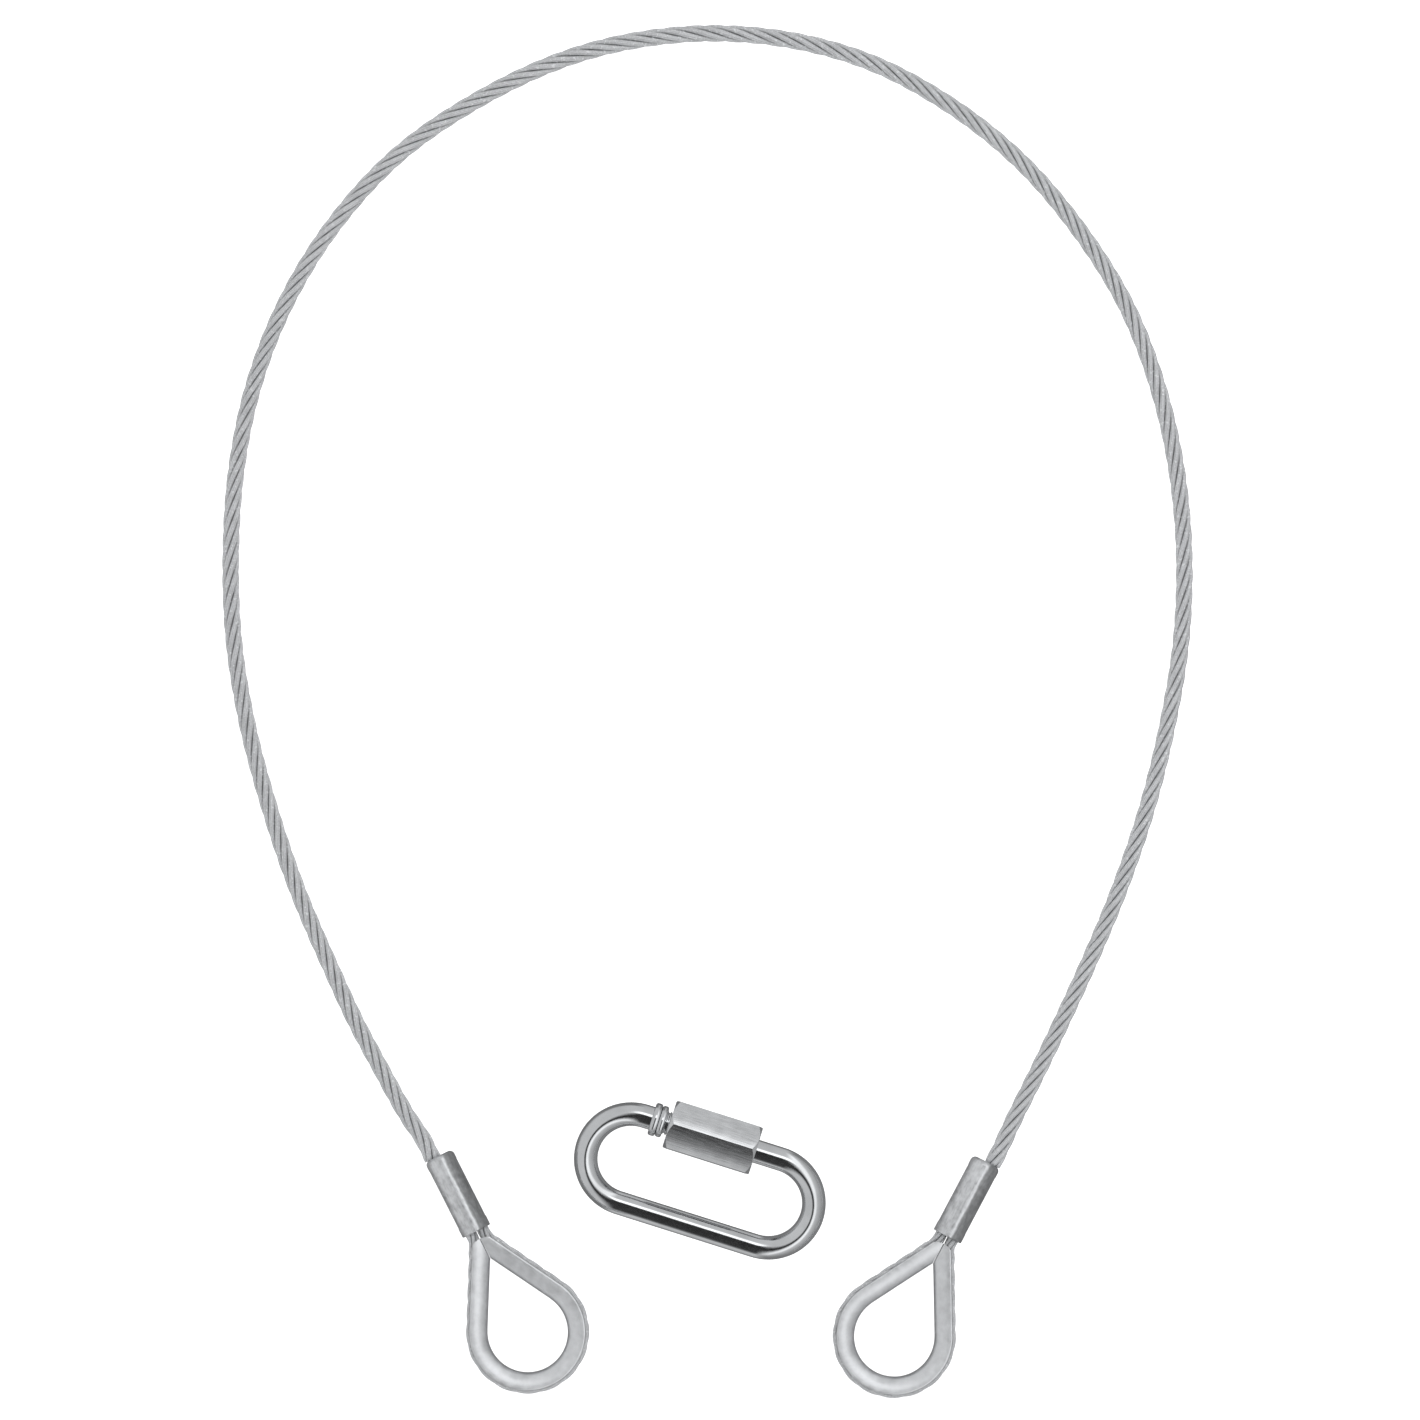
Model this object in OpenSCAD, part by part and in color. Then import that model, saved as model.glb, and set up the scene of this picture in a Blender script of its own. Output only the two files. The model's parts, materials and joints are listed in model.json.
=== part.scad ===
// Wire rope sling with a pressed thimble eye at each end, and a loose quick link.
// The sling lies flat on a table: X runs across the two eyes, Y towards the top
// of the rope loop, and Z is up.

/* [Rope] */
// Diameter of the wire rope
rope_d = 5.2; // [5.0:0.1:5.4]
// Length of one full turn of a strand around the rope
lay_length = 37; // [30:1:45]

/* [Thimble eye] */
// Radius of the bearing at the round end of each eye
eye_r = 12; // [11.5:0.1:12.5]
// Half of the angle between the two legs
leg_angle = 29; // [28:0.5:30]
// Width of the thimble across its flanges
thimble_w = 9.2; // [9:0.1:9.2]
// Thickness of the thimble's plate under the rope
plate_t = 1.2; // [1:0.1:1.4]
// Radial depth from the bearing to the flange edges
flange_h = 5.4; // [5:0.1:5.6]
// Distance from the centre of the round end to the tips of the legs
tip_y = 31.2; // [30.5:0.1:31.8]

/* [Ferrule] */
// Diameter of the pressed ferrule
ferrule_d = 9.2; // [9.2:0.1:9.6]
// Length of the pressed ferrule
ferrule_len = 25.2; // [24:0.1:27]
// Distance from the centre of the round end to the ferrule
ferrule_y = 33.6; // [33:0.1:34.5]

/* [Quick link] */
// Diameter of the link's rod
rod_d = 7.1; // [6.8:0.1:7.2]
// Overall length of the link
link_len = 77.2; // [75:0.1:80]
// Radius of the rod's centreline in the two bows
bow_r = 13.7; // [13:0.1:14.5]
// Width of the hexagon nut across its flats
nut_af = 14.4; // [14:0.1:14.8]
// Length of the nut
nut_len = 27; // [26:0.5:28]
// Pitch of the nut's thread
pitch = 1; // [1:0.05:1.25]

/* [Hidden] */
$fn = 96;

// Colours of the finishes
zinc_bright = [0.80, 0.81, 0.83];
zinc_wire = [0.70, 0.71, 0.72];
alloy_matte = [0.62, 0.63, 0.64];
link_bright = [0.74, 0.75, 0.77];

// Where the rope leaves each ferrule, and how far each eye leans outwards
left_exit = [-83.5, 26.4];
right_exit = [83.5, 24.6];
left_lean = 27;
right_lean = 28;
LEFT = -1;
RIGHT = 1;

// Rounding of the ferrule's rims, and depth of the flats that the press leaves
eye_rim = 0.4;
rope_rim = 1.5;
press_flat = 0.12;

// Heights: both ends lie on their ferrule and thimble, the rope on the table
end_z = ferrule_d / 2;
rope_z = rope_d / 2 + 0.05;

// Centreline of the free rope, from the left ferrule to the right one: X, Y, Z
route = [
    [left_exit.x, left_exit.y, end_z], [-86, 31.5, 4.5], [-91, 39, 3.9],
    [-99.5, 54, 3], [-107, 68, rope_z], [-113.5, 82, rope_z],
    [-124.5, 107.5, rope_z], [-133, 132.5, rope_z], [-139.5, 157, rope_z],
    [-143.5, 181.5, rope_z], [-144.5, 206.5, rope_z], [-143, 232, rope_z],
    [-138, 257.5, rope_z], [-128.5, 282.5, rope_z], [-114, 306.5, rope_z],
    [-95, 327.5, rope_z], [-71.5, 344, rope_z], [-38, 359, rope_z],
    [6, 364.5, rope_z], [49.5, 355, rope_z], [69, 344.5, rope_z],
    [92, 326.5, rope_z], [110, 305.5, rope_z], [124.5, 282, rope_z],
    [134, 257, rope_z], [139.5, 231.5, rope_z], [141.5, 206.5, rope_z],
    [140.5, 181.5, rope_z], [136.5, 157, rope_z], [130.5, 132.5, rope_z],
    [122, 107.5, rope_z], [111, 81.5, rope_z], [104.5, 67.5, rope_z],
    [97.5, 53, 3], [89.5, 37, 3.9], [86, 29.5, 4.5],
    [right_exit.x, right_exit.y, end_z]
];
rope_sides = 10;
ring_step = 13;

// Thimble: a channel with a round-bottomed groove
bearing_half = 1.8;
shoulder_len = 4.8;
shoulder_steps = 10;
flange_round = 0.5;
groove_r = rope_d / 2 + 0.15;
groove_c = eye_r + plate_t + groove_r;
flange_r = eye_r + flange_h;
mouth_half = thimble_w / 2 - 1.3;
leg_gap = 0.15;
leg_root = 0.5;
leg_inset = 0.02;
tip_round = 4.7;

// Strands: six round a core, squeezed together where the two legs of rope meet
strand_r = 0.84;
core_r = 0.79;
strand_c = rope_d / 3;
strand_sides = 6;
strand_step = 2.6;
bundle_x = 1.9;
bundle_gap = 0.1;
bore_r = 1.9;
bore_end = 1.6;
rope_c = groove_c - 0.1;
blend_r = 14;

// Quick link, measured along its length u from the middle
gate_u = -10.6;
gate_gap = 9;
straight_half = (link_len - rod_d) / 2 - bow_r;
collar_u = -19.2;
collar_w = [2.2, 1.9];
collar_d = [10, 9.6];
thread_depth = 0.45;
thread_clear = 0.05;
sleeve_r = 5.1;
sleeve_len = 15;
sleeve_clear = 0.04;
nut_u = -13.7;
nut_mouth_len = 6;
nut_mouth_r = rod_d / 2 + 1;
nut_chamfer = 1.3;
nut_phase = -2.5;
link_at = [-3.8, 19.8];
link_turn = -17.5;
link_tilt = 10;

// ---- Paths and sweeps -------------------------------------------------------

function unit(v) = v / norm(v);

// Cubic curve through the route's points, with a slope at each point
function gap(i) = norm(route[i + 1] - route[i]);
function chord(i) = (route[i + 1] - route[i]) / gap(i);
function slope(i) =
    i == 0 ? [-sin(left_lean), cos(left_lean), 0]
    : i == len(route) - 1 ? [-sin(right_lean), -cos(right_lean), 0]
    : (chord(i) * gap(i - 1) + chord(i - 1) * gap(i)) / (gap(i) + gap(i - 1));
function route_point(i, t) =
    (2 * t ^ 3 - 3 * t ^ 2 + 1) * route[i] + (t ^ 3 - 2 * t ^ 2 + t) * gap(i) * slope(i)
    + (3 * t ^ 2 - 2 * t ^ 3) * route[i + 1] + (t ^ 3 - t ^ 2) * gap(i) * slope(i + 1);
function route_slope(i, t) = unit(
    (6 * t ^ 2 - 6 * t) * (route[i] - route[i + 1]) / gap(i)
    + (3 * t ^ 2 - 4 * t + 1) * slope(i) + (3 * t ^ 2 - 2 * t) * slope(i + 1));

// The eye's rope as a chain of straights and arcs: [length, turn in degrees]
leg_corner = (rope_c - bundle_x * cos(leg_angle)) / sin(leg_angle);
blend_len = blend_r * tan(leg_angle / 2);
tangent_len = (leg_corner - rope_c * sin(leg_angle)) / cos(leg_angle) - blend_len;
blend_top = leg_corner + blend_len;
inside_len = ferrule_y + ferrule_len - blend_top;
blend_arc = [blend_r * leg_angle * PI / 180, -leg_angle];
round_arc = [rope_c * (180 + 2 * leg_angle) * PI / 180, 180 + 2 * leg_angle];
eye_chain = [
    [inside_len - bore_end, 0], blend_arc, [tangent_len, 0], round_arc,
    [tangent_len, 0], blend_arc, [inside_len, 0]
];
eye_len = [for (e = eye_chain) e[0]] * [for (e = eye_chain) 1];

// [x, y, heading] after a distance s along a chain that starts at [x, y, heading]
function along(s, at, i = 0) =
    let (piece = eye_chain[i], d = min(s, piece[0]), turn = piece[1] * d / piece[0])
    let (chord_len = turn == 0 ? d : d * sin(turn / 2) / (turn / 2 * PI / 180))
    let (aim = at[2] + turn / 2)
    let (next = [at.x + chord_len * cos(aim), at.y + chord_len * sin(aim), at[2] + turn])
    (s <= piece[0] + 1e-6 || i == len(eye_chain) - 1) ? next : along(s - d, next, i + 1);

// The same in an end's own frame, with the live rope on the given side
function eye_point(s, side) =
    let (p = along(s, [-bundle_x, ferrule_y + ferrule_len - bore_end, -90]))
    [side * p.x, p.y, side == RIGHT ? p[2] : 180 - p[2]];

// Skin over a list of rings, closed at both ends
module skin(rings) {
    sides = len(rings[0]);
    last = len(rings) - 1;
    faces = [
        [for (j = [0:sides - 1]) j],
        [for (j = [0:sides - 1]) last * sides + sides - 1 - j],
        for (i = [0:last - 1], j = [0:sides - 1])
            let (a = i * sides + j, b = i * sides + (j + 1) % sides)
            each [[a, a + sides, b], [b, a + sides, b + sides]]
    ];
    polyhedron([for (r = rings) each r], faces);
}

// ---- Rope -------------------------------------------------------------------

module rope_run() {
    stops = [
        for (i = [0:len(route) - 2])
            let (n = max(1, round(gap(i) / ring_step)))
            for (k = [0:n - 1]) [i, k / n],
        [len(route) - 2, 1]
    ];
    rings = [
        for (s = stops)
            let (p = route_point(s[0], s[1]), t = route_slope(s[0], s[1]))
            let (n = unit([-t.y, t.x, 0]), b = cross(t, n))
            [for (j = [0:rope_sides - 1])
                let (a = 360 * (j + 0.5) / rope_sides)
                p + rope_d / 2 * (n * cos(a) + b * sin(a))]
    ];
    color(zinc_wire) skin(rings);
}

// One strand of an eye's rope: number 0 is the core
module eye_strand(side, number) {
    count = ceil(eye_len / strand_step);
    offset = number == 0 ? 0 : strand_c;
    radius = number == 0 ? core_r : strand_r;
    rings = [
        for (i = [0:count])
            let (s = eye_len * i / count, p = eye_point(s, side))
            let (pinch = min(1, (abs(p.x) - bundle_gap) / (rope_d / 2)))
            let (squeeze = p.y < 0 ? 1 : pinch)
            let (n = [-sin(p[2]), cos(p[2]), 0], turn = 60 * number + 360 * s / lay_length)
            [for (j = [0:strand_sides - 1])
                let (a = 360 * j / strand_sides)
                let (out = offset * cos(turn) + radius * cos(a))
                let (up = offset * sin(turn) + radius * sin(a))
                [p.x, p.y, 0] + squeeze * (out * n + [0, 0, up])]
    ];
    color(zinc_wire) end_frame(side) skin(rings);
}

// Puts children, drawn about the centre of an eye's round end, in their place
module end_frame(side) {
    exit = side == LEFT ? left_exit : right_exit;
    lean = side == LEFT ? left_lean : -right_lean;
    translate([exit.x, exit.y, end_z])
        rotate([0, 0, lean])
            translate([-side * bundle_x, -ferrule_y - ferrule_len, 0])
                children();
}

// ---- Thimble ----------------------------------------------------------------

// Outline across both flanges: a flat bearing, a round shoulder to each side and a
// rounded edge
module thimble_outline(inset) {
    half = thimble_w / 2 - inset;
    shoulder = [
        for (i = [0:shoulder_steps])
            let (a = 90 * i / shoulder_steps)
            [eye_r + shoulder_len - (shoulder_len - inset) * cos(a),
             bearing_half + (half - bearing_half) * sin(a)]
    ];
    edge = [
        for (a = [90:-30:0])
            [flange_r - inset - flange_round * (1 - cos(a)),
             half - flange_round * (1 - sin(a))]
    ];
    upper = concat(shoulder, edge);
    lower = [for (i = [len(upper) - 1:-1:0]) [upper[i].x, -upper[i].y]];
    polygon(concat(upper, lower));
}

module thimble_section(inset = 0) {
    difference() {
        thimble_outline(inset);
        translate([groove_c, 0])
            circle(r = groove_r + inset);
        polygon([
            [groove_c, -groove_r - inset], [flange_r + 1, -mouth_half - inset],
            [flange_r + 1, mouth_half + inset], [groove_c, groove_r + inset]
        ]);
    }
}

// The leg on one side, cut off along the middle line and rounded at its tip. It
// starts a little way inside the round end, a hair smaller all round, so that the
// two join as one solid.
module thimble_leg(side) {
    from = side == RIGHT ? -leg_root : -tip_y;
    intersection() {
        rotate([0, 0, side == RIGHT ? leg_angle : 180 - leg_angle])
            translate([0, from, 0])
                rotate([-90, 0, 0])
                    linear_extrude(tip_y + leg_root)
                        thimble_section(leg_inset);
        union() {
            leg_room(side, 0, tip_y - tip_round);
            intersection() {
                translate([side * leg_gap, tip_y - tip_round, -thimble_w])
                    cylinder(r = tip_round, h = 2 * thimble_w);
                leg_room(side, tip_y - tip_round, tip_round + 1);
            }
        }
    }
}

// The room on one side of the middle line, from y over a length
module leg_room(side, y, length) {
    translate([side == RIGHT ? leg_gap : -leg_gap - 3 * eye_r, y, -thimble_w])
        cube([3 * eye_r, length, 2 * thimble_w]);
}

module thimble(side) {
    color(zinc_bright) end_frame(side) {
        rotate([0, 0, 180 - leg_angle])
            rotate_extrude(angle = 180 + 2 * leg_angle)
                thimble_section();
        thimble_leg(RIGHT);
        thimble_leg(LEFT);
    }
}

// ---- Ferrule ----------------------------------------------------------------

module ferrule(side) {
    color(alloy_matte) end_frame(side)
        translate([0, ferrule_y, 0])
            rotate([-90, 0, 0])
                difference() {
                    ferrule_barrel();
                    ferrule_bore(side * bundle_x, -1, ferrule_len + 1);
                    ferrule_bore(-side * bundle_x, -1, ferrule_len - bore_end + 0.1);
                    translate([-bundle_x, -bore_r, -1])
                        cube([2 * bundle_x, 2 * bore_r, ferrule_len - bore_end + 1.1]);
                    for (s = [-1, 1])
                        translate([s * (ferrule_d - press_flat) - ferrule_d / 2,
                                   -ferrule_d / 2, 2 * rope_rim])
                            cube([ferrule_d, ferrule_d, ferrule_len - 4 * rope_rim]);
                }
}

// Round barrel, standing on its eye end, with a sharper rim there
module ferrule_barrel() {
    r = ferrule_d / 2;
    rotate_extrude() {
        translate([0, eye_rim])
            square([r, ferrule_len - eye_rim - rope_rim]);
        square([r - eye_rim, eye_rim]);
        translate([0, ferrule_len - rope_rim])
            square([r - rope_rim, rope_rim]);
        barrel_rim(eye_rim, eye_rim);
        barrel_rim(rope_rim, ferrule_len - rope_rim);
    }
}

module barrel_rim(round, y) {
    intersection() {
        translate([ferrule_d / 2 - round, y])
            circle(r = round);
        square([ferrule_d / 2, ferrule_len]);
    }
}

module ferrule_bore(x, from, to) {
    translate([x, 0, from])
        cylinder(r = bore_r, h = to - from);
}

// ---- Quick link -------------------------------------------------------------

// Puts children, drawn with the link's length along X and its gate on +Y, in place
module link_frame() {
    translate([link_at.x, link_at.y, rod_d / 2 + bow_r * sin(link_tilt)])
        rotate([0, 0, link_turn])
            rotate([link_tilt, 0, 0])
                children();
}

// Puts children, drawn along +Z, on the gate's axis with z = 0 at length u
module on_gate(u) {
    translate([u, bow_r, 0])
        rotate([0, 90, 0])
            children();
}

// Rod with ridges of a thread over its first stretch, from z = 0
module threaded_rod(ridged, length) {
    turns = floor(ridged / pitch);
    r = rod_d / 2;
    root_r = r - thread_depth;
    rotate_extrude()
        polygon([
            [0, 0], [root_r, 0],
            for (i = [0:turns - 1])
                each [[root_r, (i + 0.1) * pitch], [r, (i + 0.4) * pitch],
                      [r, (i + 0.6) * pitch], [root_r, (i + 0.9) * pitch]],
            [root_r, turns * pitch], [r, turns * pitch + thread_depth],
            [r, length], [0, length]
        ]);
}

// Ring bead that the closed nut stops against
module bead(d, w) {
    edge = 0.6;
    rotate_extrude()
        polygon([
            [0, 0], [d / 2 - edge, 0], [d / 2 - edge * 0.3, edge * 0.3],
            [d / 2, edge], [d / 2, w - edge], [d / 2 - edge * 0.3, w - edge * 0.3],
            [d / 2 - edge, w], [0, w]
        ]);
}

module link_body() {
    color(link_bright) link_frame() {
        translate([-straight_half, -bow_r, 0])
            rotate([0, 90, 0])
                cylinder(d = rod_d, h = 2 * straight_half);
        for (s = [-1, 1])
            translate([s * straight_half, 0, 0])
                rotate([0, 0, -90 * s])
                    rotate_extrude(angle = 180)
                        translate([bow_r, 0])
                            circle(d = rod_d);
        on_gate(gate_u)
            mirror([0, 0, 1])
                threaded_rod(gate_u - collar_u - 0.5, straight_half + gate_u);
        on_gate(gate_u + gate_gap)
            threaded_rod(12, straight_half - gate_u - gate_gap);
        on_gate(collar_u)
            bead(collar_d[0], collar_w[0]);
        on_gate(collar_u + collar_w[0])
            bead(collar_d[1], collar_w[1]);
    }
}

module link_nut() {
    color(link_bright) link_frame() on_gate(nut_u)
        difference() {
            intersection() {
                rotate([0, 0, nut_phase - link_tilt])
                    cylinder(r = nut_af / 2 / cos(30), h = nut_len, $fn = 6);
                nut_blank();
            }
            translate([0, 0, -1])
                cylinder(r = sleeve_r, h = sleeve_len + 1);
            cylinder(r = rod_d / 2 + thread_clear, h = nut_len);
            translate([0, 0, nut_len - nut_mouth_len])
                cylinder(r = nut_mouth_r, h = nut_mouth_len + 1);
        }
}

// The turned blank that chamfers the corners of the hexagon
module nut_blank() {
    corner = nut_af / 2 / cos(30) + 0.01;
    rise = nut_chamfer;
    rotate_extrude()
        polygon([
            [0, 0], [corner - rise, 0], [corner, rise],
            [corner, nut_len - rise], [corner - rise, nut_len], [0, nut_len]
        ]);
}

module nut_thread() {
    color(link_bright) link_frame() on_gate(nut_u)
        difference() {
            translate([0, 0, 0.3])
                cylinder(r = sleeve_r - sleeve_clear, h = sleeve_len - 0.6);
            cylinder(r = rod_d / 2 + thread_clear, h = sleeve_len);
        }
}

// ---- Nodes ------------------------------------------------------------------

thimble(LEFT);  // left_thimble
thimble(RIGHT);  // right_thimble
ferrule(LEFT);  // left_ferrule
ferrule(RIGHT);  // right_ferrule
for (k = [1:6]) {
    eye_strand(LEFT, k);
    eye_strand(RIGHT, k);
}
eye_strand(LEFT, 0);  // left_eye_core
eye_strand(RIGHT, 0);  // right_eye_core
rope_run();
link_body();
link_nut();
nut_thread();
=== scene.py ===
"""Looks of a wire rope sling with thimble eyes and a quick link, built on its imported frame."""

import json
import math

import bpy
import numpy as np
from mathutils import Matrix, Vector


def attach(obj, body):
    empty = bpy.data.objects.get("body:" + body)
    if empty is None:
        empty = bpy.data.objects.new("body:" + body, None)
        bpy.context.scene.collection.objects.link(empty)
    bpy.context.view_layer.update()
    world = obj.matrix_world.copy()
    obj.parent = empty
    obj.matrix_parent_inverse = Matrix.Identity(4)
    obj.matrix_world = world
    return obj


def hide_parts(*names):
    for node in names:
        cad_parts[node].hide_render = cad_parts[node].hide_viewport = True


bl_info = {
    "name": "Wire Rope Sling",
    "version": (1, 0, 0),
    "blender": (4, 2, 0),
    "location": "View3D > Sidebar > Rope Sling",
    "description": "Dresses a wire rope sling with thimble eyes and its quick link",
    "category": "Object",
}

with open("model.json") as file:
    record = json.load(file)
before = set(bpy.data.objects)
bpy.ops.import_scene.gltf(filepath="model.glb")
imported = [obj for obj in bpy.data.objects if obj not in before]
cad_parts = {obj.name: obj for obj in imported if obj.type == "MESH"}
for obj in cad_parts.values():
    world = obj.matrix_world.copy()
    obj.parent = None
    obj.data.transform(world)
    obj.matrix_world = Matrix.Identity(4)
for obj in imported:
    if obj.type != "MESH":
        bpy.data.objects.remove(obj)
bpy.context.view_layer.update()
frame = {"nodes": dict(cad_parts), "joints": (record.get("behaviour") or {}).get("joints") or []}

MM = 0.001
LEFT, RIGHT = -1, 1
SIDES = {LEFT: "left", RIGHT: "right"}

# ---- Sizes of the frame, in millimetres -------------------------------------

LEFT_EXIT = (-83.5, 26.4)
RIGHT_EXIT = (83.5, 24.6)
EXITS = {LEFT: LEFT_EXIT, RIGHT: RIGHT_EXIT}
LEANS = {LEFT: 27, RIGHT: 28}
FERRULE_D = 9.2
FERRULE_LEN = 25.2
FERRULE_Y = 33.6
END_Z = FERRULE_D / 2

ROPE_D = 5.2
ROPE_Z = ROPE_D / 2 + 0.05
STRANDS = 6
CORE_R = 0.79
STRAND_C = ROPE_D / 3

# The eye's rope round the thimble: angle of its legs in degrees, radius of its bow,
# half the spacing of live and dead rope, and the bend that joins them at the ferrule
LEG_ANGLE = 29
EYE_ROPE_R = 15.85
BUNDLE_X = 1.9
BUNDLE_GAP = 0.1
BLEND_R = 14
BORE_END = 1.6

# Centreline of the free rope, from the left ferrule to the right one: X, Y, Z
ROUTE = [
    (*LEFT_EXIT, END_Z), (-86, 31.5, 4.5), (-91, 39, 3.9),
    (-99.5, 54, 3), (-107, 68, ROPE_Z), (-113.5, 82, ROPE_Z),
    (-124.5, 107.5, ROPE_Z), (-133, 132.5, ROPE_Z), (-139.5, 157, ROPE_Z),
    (-143.5, 181.5, ROPE_Z), (-144.5, 206.5, ROPE_Z), (-143, 232, ROPE_Z),
    (-138, 257.5, ROPE_Z), (-128.5, 282.5, ROPE_Z), (-114, 306.5, ROPE_Z),
    (-95, 327.5, ROPE_Z), (-71.5, 344, ROPE_Z), (-38, 359, ROPE_Z),
    (6, 364.5, ROPE_Z), (49.5, 355, ROPE_Z), (69, 344.5, ROPE_Z),
    (92, 326.5, ROPE_Z), (110, 305.5, ROPE_Z), (124.5, 282, ROPE_Z),
    (134, 257, ROPE_Z), (139.5, 231.5, ROPE_Z), (141.5, 206.5, ROPE_Z),
    (140.5, 181.5, ROPE_Z), (136.5, 157, ROPE_Z), (130.5, 132.5, ROPE_Z),
    (122, 107.5, ROPE_Z), (111, 81.5, ROPE_Z), (104.5, 67.5, ROPE_Z),
    (97.5, 53, 3), (89.5, 37, 3.9), (86, 29.5, 4.5),
    (*RIGHT_EXIT, END_Z),
]

# The quick link's own direction, in degrees
LINK_TURN = -17.5

# How CAD nodes are smoothed: gap that is welded shut, and angle that stays an edge
WELD_GAP = 0.002
EDGE_ANGLE = 32

# ---- Looks ------------------------------------------------------------------

# Greys of each metal: pairs of the height of its noise and the grey there
WIRE_GREYS = [(0, 0.13), (0.3, 0.56), (0.6, 0.86), (1, 1.0)]
THIMBLE_GREYS = [(0.3, 0.66), (0.5, 0.80), (0.7, 0.92)]
FERRULE_GREYS = [(0.15, 0.2), (0.3, 0.45), (0.5, 0.76), (0.7, 0.95)]
ROD_GREYS = [(0.3, 0.64), (0.7, 0.76)]
NUT_GREYS = [(0.3, 0.56), (0.5, 0.70), (0.7, 0.80)]
# Painted glints on the wires: the noise heights across which bright specks fade in
GLINTS = [(0.62, 0.0), (0.72, 1.0)]

# Share of the rope's radius where the gap between two strands ends and the crown starts,
# and how light the painted shade leaves the gap
GAP_REACH = 0.62
CROWN_REACH = 0.86
GAP_PAINTED_SHADE = 0.34

# The soft ridge that the press leaves along a ferrule: its place across from the middle,
# how its edge blends and wanders, the slope past it and how light its painted shade is
RIDGE_X = 1.2
RIDGE_BLEND = (-0.3, 0.5)
RIDGE_WANDER = 1.2
RIDGE_FALL = 0.25
RIDGE_SHADE = 0.6

# How strongly the nut's flats are crowned, per millimetre, and lean to the front
NUT_CROWN = 0.017
NUT_LEAN = 0.22

# White table: its size in metres, how far it lies under the part in millimetres, and
# how white it is
FLOOR_SIZE = 12
FLOOR_DROP = 0.02
FLOOR_WHITE = 0.9

# Grey of the room by the angle from straight up, in degrees: + is behind, - is in front
ROOM_BANDS = [
    (-180, 0.12), (-150, 0.10), (-115, 0.30), (-90, 0.34), (-80, 0.12), (-66, 0.02), (8, 0.01),
    (15, 0.95), (25, 0.95), (36, 0.33), (110, 0.30), (145, 0.05), (180, 0.12),
]
# The same from side to side: + is to the right
ROOM_ACROSS = [
    (-180, 0.10), (-115, 0.12), (-85, 0.33), (-20, 0.33), (2, 0.38), (14, 0.60), (26, 0.60),
    (40, 0.32), (80, 0.21), (120, 0.14), (180, 0.10),
]
# How far to the side the first gives way to the second, and how strong both are
ROOM_SIDE = (0.05, 0.22)
ROOM_STRENGTH = 2.0


# ---- Settings ---------------------------------------------------------------


class RopeSettings(bpy.types.PropertyGroup):
    """How finely the wire rope is drawn."""

    lay: bpy.props.FloatProperty(
        name="Lay Length", description="Length in which a strand goes once round the rope",
        default=37 * MM, min=25 * MM, max=50 * MM, unit="LENGTH")
    strand_radius: bpy.props.FloatProperty(
        name="Strand Radius", description="Radius of one outer strand",
        default=0.855 * MM, min=0.7 * MM, max=0.9 * MM, unit="LENGTH")
    step: bpy.props.FloatProperty(
        name="Ring Step", description="Distance between two rings of a strand",
        default=1.05 * MM, min=0.8 * MM, max=3 * MM, unit="LENGTH")
    ring_points: bpy.props.IntProperty(
        name="Ring Points", description="Points round one strand", default=14, min=8, max=16)
    wires: bpy.props.IntProperty(
        name="Wires", description="Wires on the outside of one strand",
        default=9, min=6, max=16)


class StageSettings(bpy.types.PropertyGroup):
    """Where the camera aims and how it sees."""

    centre: bpy.props.FloatVectorProperty(
        name="Aim", description="Point on the table that the camera looks at",
        default=(-0.75 * MM, 160.8 * MM, 0), unit="LENGTH")
    width: bpy.props.FloatProperty(
        name="View Width", description="Width of the view at the table",
        default=426 * MM, min=0.2, max=1, unit="LENGTH")
    elevation: bpy.props.FloatProperty(
        name="Elevation", description="Height of the camera above the horizon",
        default=math.radians(87), min=math.radians(60), max=math.radians(90),
        unit="ROTATION")
    lens: bpy.props.FloatProperty(
        name="Focal Length", description="Long lens, so that the view is nearly parallel",
        default=200, min=85, max=400)


# ---- Curves -----------------------------------------------------------------


def unit(v):
    """Rows of v, or one vector, at length 1."""
    return v / np.linalg.norm(v, axis=-1, keepdims=True)


def eye_lean(side):
    """Angle of an eye from the table's Y direction, in radians."""
    return math.radians(LEANS[LEFT] if side == LEFT else -LEANS[RIGHT])


def run_length(points):
    """Length run at each point of a line."""
    return np.append(0, np.cumsum(np.linalg.norm(np.diff(points, axis=0), axis=1)))


def route_curve(step):
    """Points and directions along the free rope, in millimetres."""
    points = np.array(ROUTE, float)
    gaps = np.linalg.norm(points[1:] - points[:-1], axis=1)
    chords = (points[1:] - points[:-1]) / gaps[:, None]
    slopes = np.zeros_like(points)
    slopes[1:-1] = chords[1:] * gaps[:-1, None] + chords[:-1] * gaps[1:, None]
    slopes[1:-1] /= (gaps[:-1] + gaps[1:])[:, None]
    first, last = eye_lean(LEFT), eye_lean(RIGHT)
    slopes[0] = (-math.sin(first), math.cos(first), 0)
    slopes[-1] = (math.sin(last), -math.cos(last), 0)
    places, ways = [], []
    for i, gap in enumerate(gaps):
        count = max(1, round(gap / step))
        ends = count + 1 if i == len(gaps) - 1 else count
        t = (np.arange(ends) / count)[:, None]
        places.append(
            (2 * t**3 - 3 * t**2 + 1) * points[i] + (t**3 - 2 * t**2 + t) * gap * slopes[i]
            + (3 * t**2 - 2 * t**3) * points[i + 1] + (t**3 - t**2) * gap * slopes[i + 1])
        ways.append(
            (6 * t**2 - 6 * t) * (points[i] - points[i + 1]) / gap
            + (3 * t**2 - 4 * t + 1) * slopes[i] + (3 * t**2 - 2 * t) * slopes[i + 1])
    return np.concatenate(places), unit(np.concatenate(ways))


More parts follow.
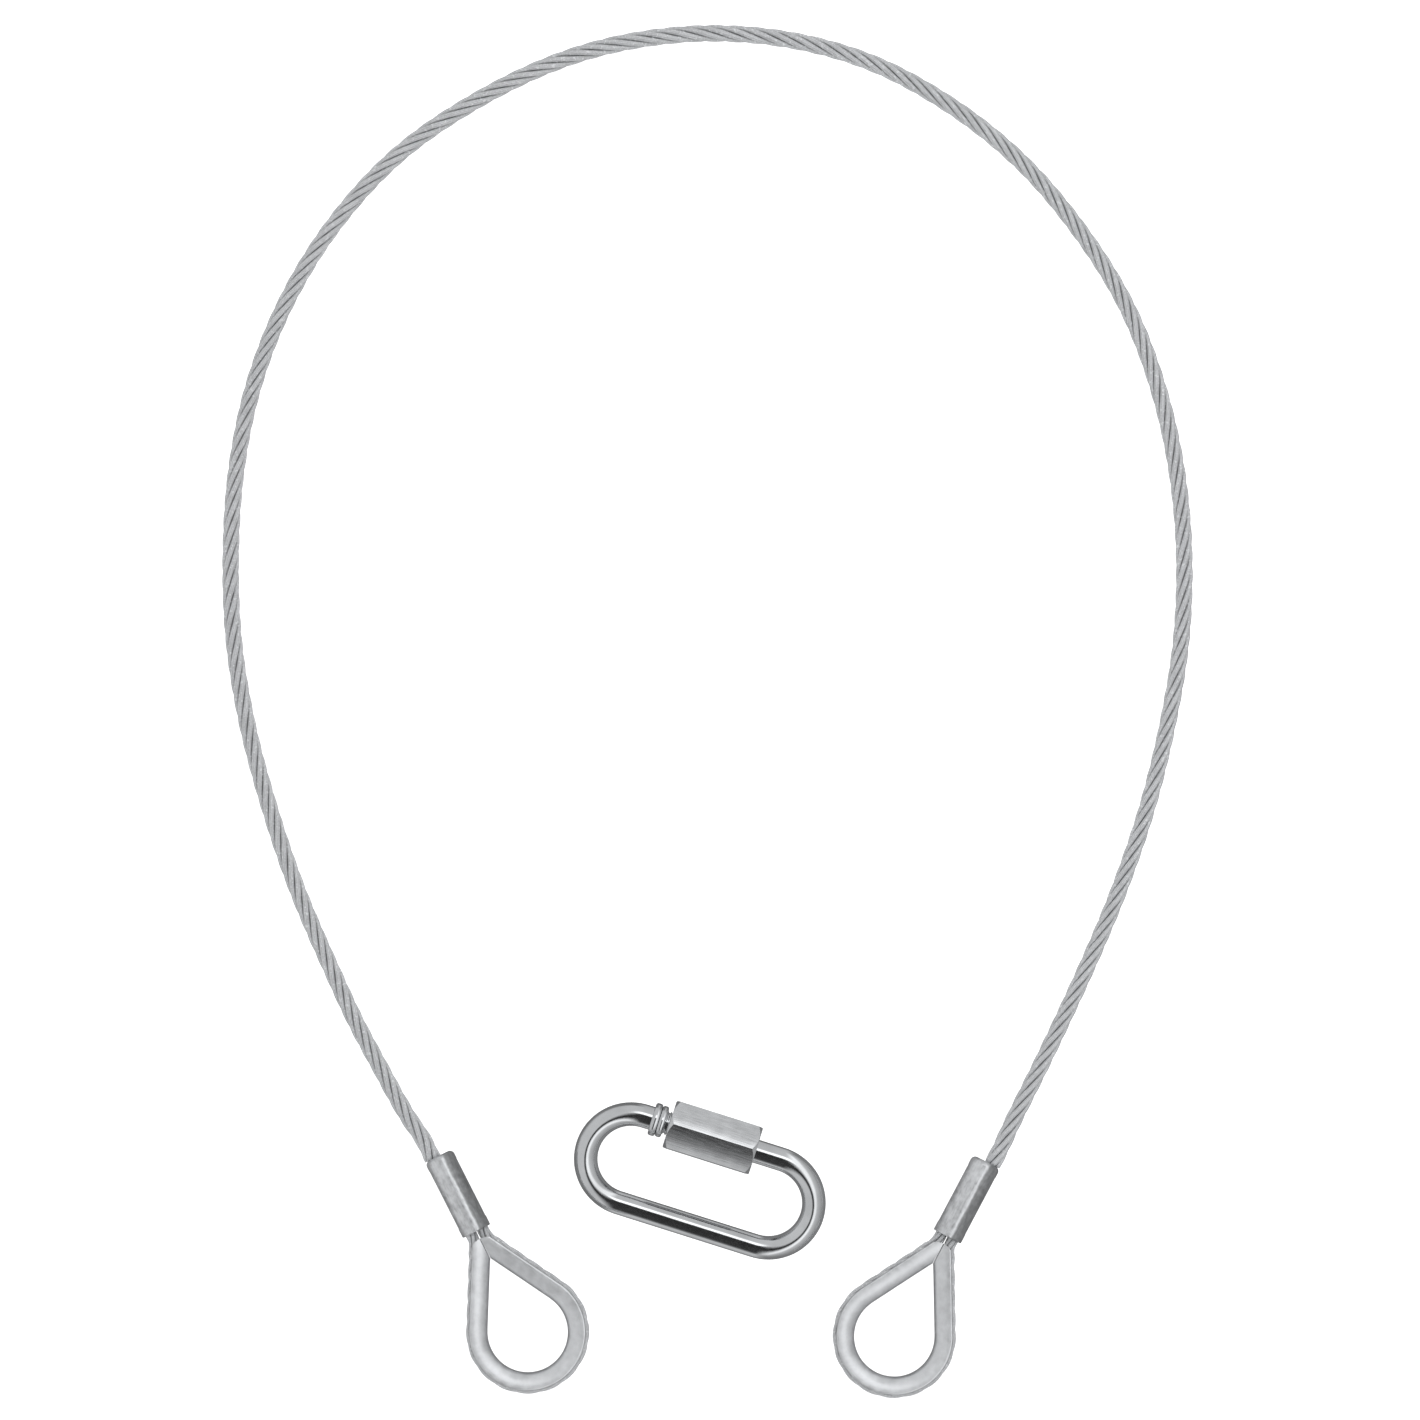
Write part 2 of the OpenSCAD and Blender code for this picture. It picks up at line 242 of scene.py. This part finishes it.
def eye_chain():
    """The eye's rope as straights and arcs: pairs of length and turn in degrees."""
    angle = math.radians(LEG_ANGLE)
    corner = (EYE_ROPE_R - BUNDLE_X * math.cos(angle)) / math.sin(angle)
    blend = BLEND_R * math.tan(angle / 2)
    tangent = (corner - EYE_ROPE_R * math.sin(angle)) / math.cos(angle) - blend
    inside = FERRULE_Y + FERRULE_LEN - corner - blend
    bend = (BLEND_R * angle, -LEG_ANGLE)
    bow = (EYE_ROPE_R * (math.pi + 2 * angle), 180 + 2 * LEG_ANGLE)
    return [(inside - BORE_END, 0), bend, (tangent, 0), bow, (tangent, 0), bend, (inside, 0)]


def eye_curve(side, step):
    """Points, headings and squeeze along an eye's rope, in the eye's own frame."""
    x, y, heading = -BUNDLE_X, FERRULE_Y + FERRULE_LEN - BORE_END, -90.0
    rows = [(x, y, heading)]
    for length, turn in eye_chain():
        count = max(1, round(length / step))
        for _ in range(count):
            half = math.radians(turn / count / 2)
            stride = length / count * (math.sin(half) / half if half else 1)
            aim = math.radians(heading) + half
            x += stride * math.cos(aim)
            y += stride * math.sin(aim)
            heading += turn / count
            rows.append((x, y, heading))
    path = np.array(rows)
    path[:, 0] *= side
    if side == LEFT:
        path[:, 2] = 180 - path[:, 2]
    pinch = np.minimum(1, (np.abs(path[:, 0]) - BUNDLE_GAP) / (ROPE_D / 2))
    return path, np.where(path[:, 1] < 0, 1, pinch)


def end_place(points, side):
    """Moves points from an eye's own frame to its place on the table."""
    lean = eye_lean(side)
    shift = np.array([-side * BUNDLE_X, -FERRULE_Y - FERRULE_LEN, 0])
    turn = np.array([
        [math.cos(lean), -math.sin(lean), 0], [math.sin(lean), math.cos(lean), 0], [0, 0, 1]])
    return (points + shift) @ turn.T + np.array([*EXITS[side], END_Z])


# ---- Meshes -----------------------------------------------------------------


def tube_parts(centres, left, up, squeeze, radius, offset, turn, sides):
    """One strand's vertices, and how far out each lies as a share of the rope's radius."""
    around = 2 * math.pi * np.arange(sides) / sides
    out = offset * np.cos(turn)[:, None] + radius * np.cos(around)[None]
    rise = offset * np.sin(turn)[:, None] + radius * np.sin(around)[None]
    reach = np.hypot(out, rise) / (offset + radius)
    ring = out[..., None] * left[:, None] + rise[..., None] * up[:, None]
    places = centres[:, None] + squeeze[:, None, None] * ring
    return places.reshape(-1, 3), reach.ravel()


def tube_faces(rings, sides, first=0):
    """Quads between neighbouring rings."""
    i, j = np.meshgrid(np.arange(rings - 1), np.arange(sides), indexing="ij")
    a, b = i * sides + j, i * sides + (j + 1) % sides
    return np.stack([a, b, b + sides, a + sides], -1).reshape(-1, 4) + first


def tube_uv(length, sides, wires):
    """UV of each quad's corners: wires round the strand, and millimetres along it."""
    i, j = np.meshgrid(np.arange(len(length) - 1), np.arange(sides), indexing="ij")
    u0, u1 = j / sides * wires, (j + 1) / sides * wires
    v0, v1 = length[i], length[i + 1]
    corners = [(u0, v0), (u1, v0), (u1, v1), (u0, v1)]
    return np.stack([np.stack(c, -1) for c in corners], 2).reshape(-1, 2)


def strand_object(name, tubes, sides, wires):
    """A smooth mesh of one or more tubes, closed at both ends."""
    vertices, reach, quads, uv, caps = [], [], [], [], []
    first = 0
    for places, outward, length in tubes:
        vertices.append(places)
        reach.append(outward)
        quads.append(tube_faces(len(length), sides, first))
        uv.append(tube_uv(length, sides, wires))
        last = first + (len(length) - 1) * sides
        caps.append([first + sides - 1 - j for j in range(sides)])
        caps.append([last + j for j in range(sides)])
        first += len(places)
    mesh = bpy.data.meshes.new(name)
    mesh.from_pydata(np.concatenate(vertices) * MM, [], [*np.concatenate(quads).tolist(), *caps])
    layer = mesh.uv_layers.new(name="wires")
    corners = np.zeros((len(mesh.loops), 2))
    on_quads = np.concatenate(uv)
    corners[:len(on_quads)] = on_quads
    layer.data.foreach_set("uv", corners.ravel())
    attribute = mesh.attributes.new("reach", "FLOAT", "POINT")
    attribute.data.foreach_set("value", np.concatenate(reach))
    mesh.polygons.foreach_set("use_smooth", [True] * len(mesh.polygons))
    mesh.update()
    piece = bpy.data.objects.new(name, mesh)
    bpy.context.scene.collection.objects.link(piece)
    return piece


def strand_lay(rope, number, length):
    """Radius, distance from the rope's middle and turns of a strand: number 0 is the core."""
    turn = 2 * math.pi * (number / STRANDS + length / (rope.lay / MM))
    if number:
        return rope.strand_radius / MM, STRAND_C, turn
    return CORE_R, 0, turn


def free_rope(rope):
    """Six strands laid round a core along the whole free rope."""
    centres, ways = route_curve(rope.step / MM)
    left = unit(np.stack([-ways[:, 1], ways[:, 0], 0 * ways[:, 0]], -1))
    up = np.cross(ways, left)
    length = run_length(centres)
    full = np.ones(len(centres))
    tubes = []
    for number in range(STRANDS + 1):
        lay = strand_lay(rope, number, length)
        parts = tube_parts(centres, left, up, full, *lay, rope.ring_points)
        tubes.append((*parts, length))
    return strand_object("free_rope", tubes, rope.ring_points, rope.wires), centres


def eye_strand(rope, side, number):
    """One strand of the rope round an eye: number 0 is the core."""
    path, squeeze = eye_curve(side, rope.step / MM)
    heading = np.radians(path[:, 2])
    flat = np.zeros(len(path))
    left = np.stack([-np.sin(heading), np.cos(heading), flat], -1)
    up = np.tile([0.0, 0.0, 1.0], (len(path), 1))
    centres = np.stack([path[:, 0], path[:, 1], flat], -1)
    length = run_length(centres)
    lay = strand_lay(rope, number, length)
    places, reach = tube_parts(centres, left, up, squeeze, *lay, rope.ring_points)
    name = f"{SIDES[side]}_eye_wires_{number or 'core'}"
    tube = (end_place(places, side), reach, length)
    return strand_object(name, [tube], rope.ring_points, rope.wires)


# ---- Materials --------------------------------------------------------------


class Nodes:
    """A short way to add and link the shader nodes of a material or a world."""

    def __init__(self, owner):
        owner.use_nodes = True
        self.tree = owner.node_tree
        self.tree.nodes.clear()

    def add(self, kind, **values):
        """A node of this kind; values are set on its sockets or as its properties."""
        node = self.tree.nodes.new("ShaderNode" + kind)
        for key, value in values.items():
            self.put(node, key, value)
        return node

    def put(self, node, key, value):
        """Links or sets one socket, or sets a property."""
        name = key.replace("_", " ")
        socket = next((s for s in node.inputs if s.name.lower() == name.lower()), None)
        if socket is None:
            setattr(node, key, value)
        elif isinstance(value, bpy.types.NodeSocket):
            self.link(value, socket)
        else:
            socket.default_value = value

    def link(self, source, target):
        """Connects two sockets."""
        self.tree.links.new(source, target)

    def math(self, operation, *values):
        """The output of a Math node."""
        node = self.add("Math")
        node.operation = operation
        for socket, value in zip(node.inputs, values):
            if isinstance(value, bpy.types.NodeSocket):
                self.link(value, socket)
            else:
                socket.default_value = value
        return node.outputs[0]

    def ramp(self, factor, stops):
        """The colour of a ramp of grey stops: pairs of position and grey."""
        node = self.add("ValToRGB", Fac=factor)
        elements = node.color_ramp.elements
        for place, grey in stops[1:-1]:
            elements.new(place)
        for element, (place, grey) in zip(elements, stops):
            element.position = place
            element.color = tint(grey)
        return node.outputs["Color"]

    def round_ramp(self, along, up, stops):
        """A ramp round the sky: pairs of the angle from straight up in degrees and grey."""
        angle = self.math("ARCTAN2", along, up)
        share = self.math("MULTIPLY_ADD", angle, 0.5 / math.pi, 0.5)
        return self.ramp(share, [(degrees / 360 + 0.5, grey) for degrees, grey in stops])

    def mean(self, one, other):
        """The mean of two values."""
        return self.math("ADD", self.math("MULTIPLY", one, 0.5), self.math("MULTIPLY", other, 0.5))

    def squares(self, one, other):
        """The sum of the squares of two values."""
        return self.math(
            "ADD", self.math("POWER", one, 2.0), self.math("POWER", other, 2.0))

    def noise(self, where, per_metre, detail):
        """The height of a noise at a position; a feature is about 1 / per_metre."""
        node = self.add("TexNoise", Vector=where, Scale=per_metre, Detail=detail)
        return node.outputs["Fac"]

    def place(self, turn=0, stretch=(1, 1, 1), centre=(0, 0, 0)):
        """Object coordinates, moved to a centre, turned about Z and stretched."""
        where = self.add("TexCoord").outputs["Object"]
        moved = self.add("VectorMath", operation="SUBTRACT")
        self.link(where, moved.inputs[0])
        moved.inputs[1].default_value = centre
        turned = self.add("VectorRotate", Vector=moved.outputs[0], Angle=-turn)
        scaled = self.add("VectorMath", operation="MULTIPLY")
        self.link(turned.outputs[0], scaled.inputs[0])
        scaled.inputs[1].default_value = stretch
        return scaled.outputs[0]


class Surface(Nodes):
    """The nodes of a material with one shader."""

    def __init__(self, name):
        self.material = bpy.data.materials.new(name)
        super().__init__(self.material)
        out = self.add("OutputMaterial")
        self.shader = self.add("BsdfPrincipled")
        self.link(self.shader.outputs["BSDF"], out.inputs["Surface"])

    def look(self, colour, metallic, roughness):
        """Sets what the shader shows."""
        self.put(self.shader, "Base_Color", colour)
        self.put(self.shader, "Metallic", metallic)
        self.put(self.shader, "Roughness", roughness)

    def bump(self, height, distance=1.0):
        """Bump on the shader: its height in metres is height times distance."""
        node = self.add("Bump", Height=height, Distance=distance, Strength=1.0)
        self.link(node.outputs["Normal"], self.shader.inputs["Normal"])


def tint(grey):
    """A neutral metal colour, very slightly cool."""
    return (grey * 0.99, grey, min(1, grey * 1.012), 1)


def wire_material():
    """Galvanised steel wires: painted shade in the gaps where strands meet, full grey on the
    strands' crowns, a painted highlight along each wire's crown, and painted glints.
    """
    m = Surface("galvanised_wire")
    uv = m.add("UVMap", uv_map="wires").outputs["UV"]
    split = m.add("SeparateXYZ", Vector=uv)
    wave = m.math("COSINE", m.math("MULTIPLY", split.outputs["X"], 2 * math.pi))
    crown = m.math("MULTIPLY_ADD", wave, -0.5, 0.5)
    reach = m.add("Attribute", attribute_name="reach").outputs["Fac"]
    # Painted shade: the colour gets darker toward the gaps where strands meet and stays full on
    # the strands' crowns
    painted_gap_shade = m.add(
        "MapRange", Value=reach, From_Min=GAP_REACH, From_Max=CROWN_REACH, To_Min=GAP_PAINTED_SHADE)
    where = m.place()
    speck = m.noise(where, per_metre=2300, detail=2)
    patch = m.noise(where, per_metre=260, detail=3)
    # Painted glints: bright specks added to the wires' colour
    glint = m.ramp(m.noise(where, per_metre=1100, detail=1), GLINTS)
    worn = m.math("MULTIPLY_ADD", speck, 0.5, m.math("MULTIPLY_ADD", patch, 0.3, 0.12))
    # Painted highlight along each wire's crown, with painted shade between wires; the same wave
    # also bumps the wires
    lit = m.math("MULTIPLY", worn, m.math("MULTIPLY_ADD", crown, 0.3, 0.7))
    grey = m.math("MULTIPLY", lit, painted_gap_shade.outputs[0])
    light = m.math("ADD", grey, m.math("MULTIPLY", glint, 0.35))
    roughness = m.math("MULTIPLY_ADD", patch, 0.25, 0.3)
    m.look(m.ramp(light, WIRE_GREYS), 0.4, roughness)
    m.bump(m.math("MULTIPLY_ADD", speck, 0.4, crown), 0.06 * MM)
    return m.material


def thimble_material(side, centre):
    """Satin zinc on pressed steel: soft spangle, faint draw marks round the eye."""
    m = Surface(f"thimble_zinc_{SIDES[side]}")
    where = m.place(centre=centre)
    spangle = m.noise(where, per_metre=420, detail=4)
    cloud = m.noise(where, per_metre=90, detail=3)
    split = m.add("SeparateXYZ", Vector=where)
    radius = m.math("SQRT", m.squares(split.outputs["X"], split.outputs["Y"]))
    ring = m.add("CombineXYZ", X=radius, Z=split.outputs["Z"]).outputs[0]
    draw = m.noise(ring, per_metre=2800, detail=2)
    roughness = m.math("MULTIPLY_ADD", spangle, 0.2, 0.28)
    m.look(m.ramp(m.mean(cloud, spangle), THIMBLE_GREYS), 1.0, roughness)
    m.bump(m.math("MULTIPLY_ADD", draw, 0.5, spangle), 0.015 * MM)
    return m.material


def ferrule_material(side):
    """Pressed alloy: matte, mottled, brushed lengthwise, with painted shade on the facet past the
    press's ridge.
    """
    m = Surface(f"ferrule_alloy_{SIDES[side]}")
    lean = eye_lean(side)
    middle = np.array([[0, FERRULE_Y + FERRULE_LEN / 2, 0]])
    centre = tuple(end_place(middle, side)[0] * MM)
    across = m.place(turn=lean, centre=centre)
    along = m.place(turn=lean, centre=centre, stretch=(1, 0.12, 1))
    brush = m.noise(along, per_metre=2600, detail=3)
    mottle = m.noise(across, per_metre=700, detail=4)
    cloud = m.noise(across, per_metre=190, detail=3)
    split = m.add("SeparateXYZ", Vector=across)
    wander = m.math("MULTIPLY_ADD", cloud, RIDGE_WANDER * MM, -RIDGE_WANDER / 2 * MM)
    offset = m.math("ADD", split.outputs["X"], wander)
    start, end = [(RIDGE_X + blend) * MM for blend in RIDGE_BLEND]
    # Painted shade: the colour is darkened past the ridge, on the facet that turns away from the
    # light
    past_ridge_painted_shade = m.add(
        "MapRange", Value=offset, From_Min=start, From_Max=end, To_Min=1.0, To_Max=RIDGE_SHADE)
    grey = m.math("ADD", m.math("MULTIPLY", mottle, 0.4), m.math("MULTIPLY", cloud, 0.3))
    streaked = m.math("ADD", grey, m.math("MULTIPLY", brush, 0.3))
    shaded = m.math("MULTIPLY", streaked, past_ridge_painted_shade.outputs[0])
    roughness = m.math("MULTIPLY_ADD", mottle, 0.2, 0.26)
    m.look(m.ramp(shaded, FERRULE_GREYS), 0.9, roughness)
    past = m.math("MAXIMUM", m.math("SUBTRACT", offset, RIDGE_X * MM), 0.0)
    texture = m.math("MULTIPLY", m.math("MULTIPLY_ADD", brush, 0.6, mottle), 0.05 * MM)
    m.bump(m.math("MULTIPLY_ADD", past, -RIDGE_FALL, texture))
    return m.material


def rod_material():
    """Bright zinc plating on a drawn rod."""
    m = Surface("plated_rod")
    where = m.place()
    cloud = m.noise(where, per_metre=140, detail=3)
    ripple = m.noise(where, per_metre=900, detail=2)
    roughness = m.math("MULTIPLY_ADD", ripple, 0.08, 0.06)
    m.look(m.ramp(cloud, ROD_GREYS), 1.0, roughness)
    m.bump(ripple, 0.006 * MM)
    return m.material


def nut_material():
    """Bright zinc plating on slightly crowned flats, with milling marks along them."""
    m = Surface("plated_nut")
    joint = next(j for j in frame["joints"] if j["name"] == "nut_turn")
    turn = math.radians(LINK_TURN)
    where = m.place(turn=turn, centre=tuple(joint["pos_m"]))
    marks = m.noise(m.place(turn=turn, stretch=(0.08, 1, 1)), per_metre=2600, detail=3)
    cloud = m.noise(where, per_metre=260, detail=4)
    roughness = m.math("MULTIPLY_ADD", marks, 0.12, 0.10)
    m.look(m.ramp(m.mean(cloud, marks), NUT_GREYS), 1.0, roughness)
    split = m.add("SeparateXYZ", Vector=where)
    squares = m.squares(split.outputs["Y"], split.outputs["Z"])
    crown = m.math("MULTIPLY", squares, -NUT_CROWN / MM)
    lean = m.math("MULTIPLY_ADD", split.outputs["Y"], NUT_LEAN, crown)
    m.bump(m.math("MULTIPLY_ADD", marks, 0.02 * MM, lean))
    return m.material


def rope_piece(piece, material, cad):
    """Puts a strand of rope in the place of a CAD node of the sling."""
    dress(piece, material)
    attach(piece, "sling")
    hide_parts(cad)


def dress(piece, material):
    """Gives a piece one material."""
    piece.data.materials.clear()
    piece.data.materials.append(material)


def smooth_metal(node):
    """Smooth shading on a CAD node that keeps its real edges sharp."""
    weld = node.modifiers.new("weld", "WELD")
    weld.merge_threshold = WELD_GAP * MM
    split = node.modifiers.new("edges", "EDGE_SPLIT")
    split.split_angle = math.radians(EDGE_ANGLE)
    node.data.polygons.foreach_set("use_smooth", [True] * len(node.data.polygons))


# ---- Operators --------------------------------------------------------------


class SLING_OT_camera(bpy.types.Operator):
    """Long-lens camera, nearly straight above the table"""

    bl_idname = "sling.camera"
    bl_label = "Camera"

    def execute(self, context):
        stage = context.scene.sling_stage
        data = bpy.data.cameras.new("camera")
        data.type = "PERSP"
        data.lens = stage.lens
        camera = bpy.data.objects.new("camera", data)
        context.scene.collection.objects.link(camera)
        distance = stage.width * data.lens / data.sensor_width
        back = Vector((0, -math.cos(stage.elevation), math.sin(stage.elevation)))
        camera.location = Vector(stage.centre) + back * distance
        camera.rotation_euler = (math.pi / 2 - stage.elevation, 0, 0)
        data.clip_start = distance / 100
        data.clip_end = distance * 10
        context.scene.camera = camera
        return {"FINISHED"}


class SLING_OT_free_rope(bpy.types.Operator):
    """Free rope between the two ferrules, as one piece"""

    bl_idname = "sling.free_rope"
    bl_label = "Free Rope"

    def execute(self, context):
        piece, centres = free_rope(context.scene.sling_rope)
        rope_piece(piece, wire_material(), "rope_run")
        return {"FINISHED"}


class SLING_OT_eyes(bpy.types.Operator):
    """Strands of the rope round both thimbles"""

    bl_idname = "sling.eyes"
    bl_label = "Eye Ropes"

    def execute(self, context):
        material = bpy.data.materials["galvanised_wire"]
        for side, word in SIDES.items():
            for number in range(STRANDS + 1):
                piece = eye_strand(context.scene.sling_rope, side, number)
                cad = f"{word}_eye_strand_{number}" if number else f"{word}_eye_core"
                rope_piece(piece, material, cad)
        return {"FINISHED"}


class SLING_OT_fittings(bpy.types.Operator):
    """Thimbles and ferrules"""

    bl_idname = "sling.fittings"
    bl_label = "Thimbles and Ferrules"

    def execute(self, context):
        for side, word in SIDES.items():
            thimble = frame["nodes"][f"{word}_thimble"]
            ferrule = frame["nodes"][f"{word}_ferrule"]
            centre = tuple(end_place(np.zeros((1, 3)), side)[0] * MM)
            dress(thimble, thimble_material(side, centre))
            dress(ferrule, ferrule_material(side))
            smooth_metal(thimble)
            smooth_metal(ferrule)
        return {"FINISHED"}


class SLING_OT_quick_link(bpy.types.Operator):
    """Rod, nut and thread of the quick link"""

    bl_idname = "sling.quick_link"
    bl_label = "Quick Link"

    def execute(self, context):
        rod = rod_material()
        nut = nut_material()
        for name, material in (("link_body", rod), ("link_nut", nut), ("nut_thread", nut)):
            node = frame["nodes"][name]
            dress(node, material)
            smooth_metal(node)
        return {"FINISHED"}


class SLING_OT_stage(bpy.types.Operator):
    """White table and the soft boxes round it"""

    bl_idname = "sling.stage"
    bl_label = "Stage"

    def execute(self, context):
        bpy.ops.object.select_all(action="DESELECT")
        bpy.ops.mesh.primitive_plane_add(size=FLOOR_SIZE, location=(0, 0, -FLOOR_DROP * MM))
        floor = context.object
        floor.name = "floor"
        floor.visible_glossy = False
        white = Surface("white_table")
        white.look((FLOOR_WHITE, FLOOR_WHITE, FLOOR_WHITE, 1), 0.0, 1.0)
        white.put(white.shader, "Emission_Color", (1, 1, 1, 1))
        white.put(white.shader, "Emission_Strength", FLOOR_WHITE)
        dress(floor, white.material)
        soft_room(context.scene)
        context.scene.view_settings.view_transform = "Standard"
        return {"FINISHED"}


def soft_room(scene):
    """A room of soft boxes: a dark patch overhead, a bright strip, light grey all round."""
    world = bpy.data.worlds.new("room")
    scene.world = world
    room = Nodes(world)
    out = room.add("OutputWorld")
    ray = room.add("TexCoord").outputs["Generated"]
    turned = room.add("VectorRotate", Vector=ray, Angle=-math.radians(LINK_TURN))
    split = room.add("SeparateXYZ", Vector=turned.outputs[0])
    bands = room.round_ramp(split.outputs["Y"], split.outputs["Z"], ROOM_BANDS)
    across = room.round_ramp(split.outputs["X"], split.outputs["Z"], ROOM_ACROSS)
    side = room.math("ABSOLUTE", split.outputs["X"])
    near, far = ROOM_SIDE
    edge = room.add("MapRange", Value=side, From_Min=near, From_Max=far)
    mixed = room.add("Mix", data_type="RGBA")
    room.link(edge.outputs[0], mixed.inputs[0])
    room.link(bands, mixed.inputs[6])
    room.link(across, mixed.inputs[7])
    glow = room.add("Background", Color=mixed.outputs[2], Strength=ROOM_STRENGTH)
    room.link(glow.outputs[0], out.inputs["Surface"])


class SLING_PT_panel(bpy.types.Panel):
    """Buttons in the order of use"""

    bl_idname = "SLING_PT_panel"
    bl_label = "Rope Sling"
    bl_space_type = "VIEW_3D"
    bl_region_type = "UI"
    bl_category = "Rope Sling"

    def draw(self, context):
        scene = context.scene
        for group in (scene.sling_rope, scene.sling_stage):
            for name in group.__annotations__:
                self.layout.prop(group, name)
        for operator in OPERATORS:
            self.layout.operator(operator.bl_idname)


OPERATORS = (
    SLING_OT_camera, SLING_OT_free_rope, SLING_OT_eyes,
    SLING_OT_fittings, SLING_OT_quick_link, SLING_OT_stage,
)
GROUPS = (RopeSettings, StageSettings)


def register():
    """Registers the settings, the operators and the panel."""
    for cls in (*GROUPS, *OPERATORS, SLING_PT_panel):
        bpy.utils.register_class(cls)
    bpy.types.Scene.sling_rope = bpy.props.PointerProperty(type=RopeSettings)
    bpy.types.Scene.sling_stage = bpy.props.PointerProperty(type=StageSettings)


def unregister():
    """Takes them away again."""
    del bpy.types.Scene.sling_stage
    del bpy.types.Scene.sling_rope
    for cls in reversed((*GROUPS, *OPERATORS, SLING_PT_panel)):
        bpy.utils.unregister_class(cls)


def main():
    """Builds every piece in order."""
    register()
    bpy.ops.sling.camera()
    bpy.ops.sling.free_rope()
    bpy.ops.sling.eyes()
    bpy.ops.sling.fittings()
    bpy.ops.sling.quick_link()
    bpy.ops.sling.stage()


if __name__ == "__main__":
    main()
